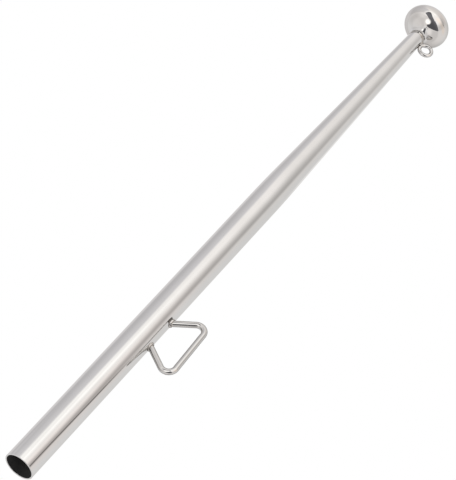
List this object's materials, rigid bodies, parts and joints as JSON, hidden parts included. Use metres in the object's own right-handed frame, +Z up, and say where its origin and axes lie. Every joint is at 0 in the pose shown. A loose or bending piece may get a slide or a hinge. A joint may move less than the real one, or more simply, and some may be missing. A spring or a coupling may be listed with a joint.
{
  "type": "boat flagpole",
  "caption": "Round polished stainless flag staff for a boat: straight tube with a long taper, flattened ball finial, halyard ring and bent-rod line handle.",
  "frame": {"origin": "centre of the open lower end of the tube, on its end face", "axes": "+Z up the staff, +X towards the line handle; the halyard ring is turned 13 degrees from it to +Y"},
  "size_m": [0.0634, 0.0416, 0.61],
  "materials": {
    "polished_steel": "mirror-polished stainless steel",
    "weld_steel": "weld bead, dulled and faintly heat-tinted"
  },
  "bodies": {
    "root": {"pole_tube": "polished_steel", "finial_ball": "polished_steel", "finial_neck": "polished_steel", "handle_rod": "polished_steel", "halyard_ring": "polished_steel", "upper_foot_weld": "weld_steel", "lower_foot_weld": "weld_steel", "ring_weld": "weld_steel"}
  },
  "joints": []
}
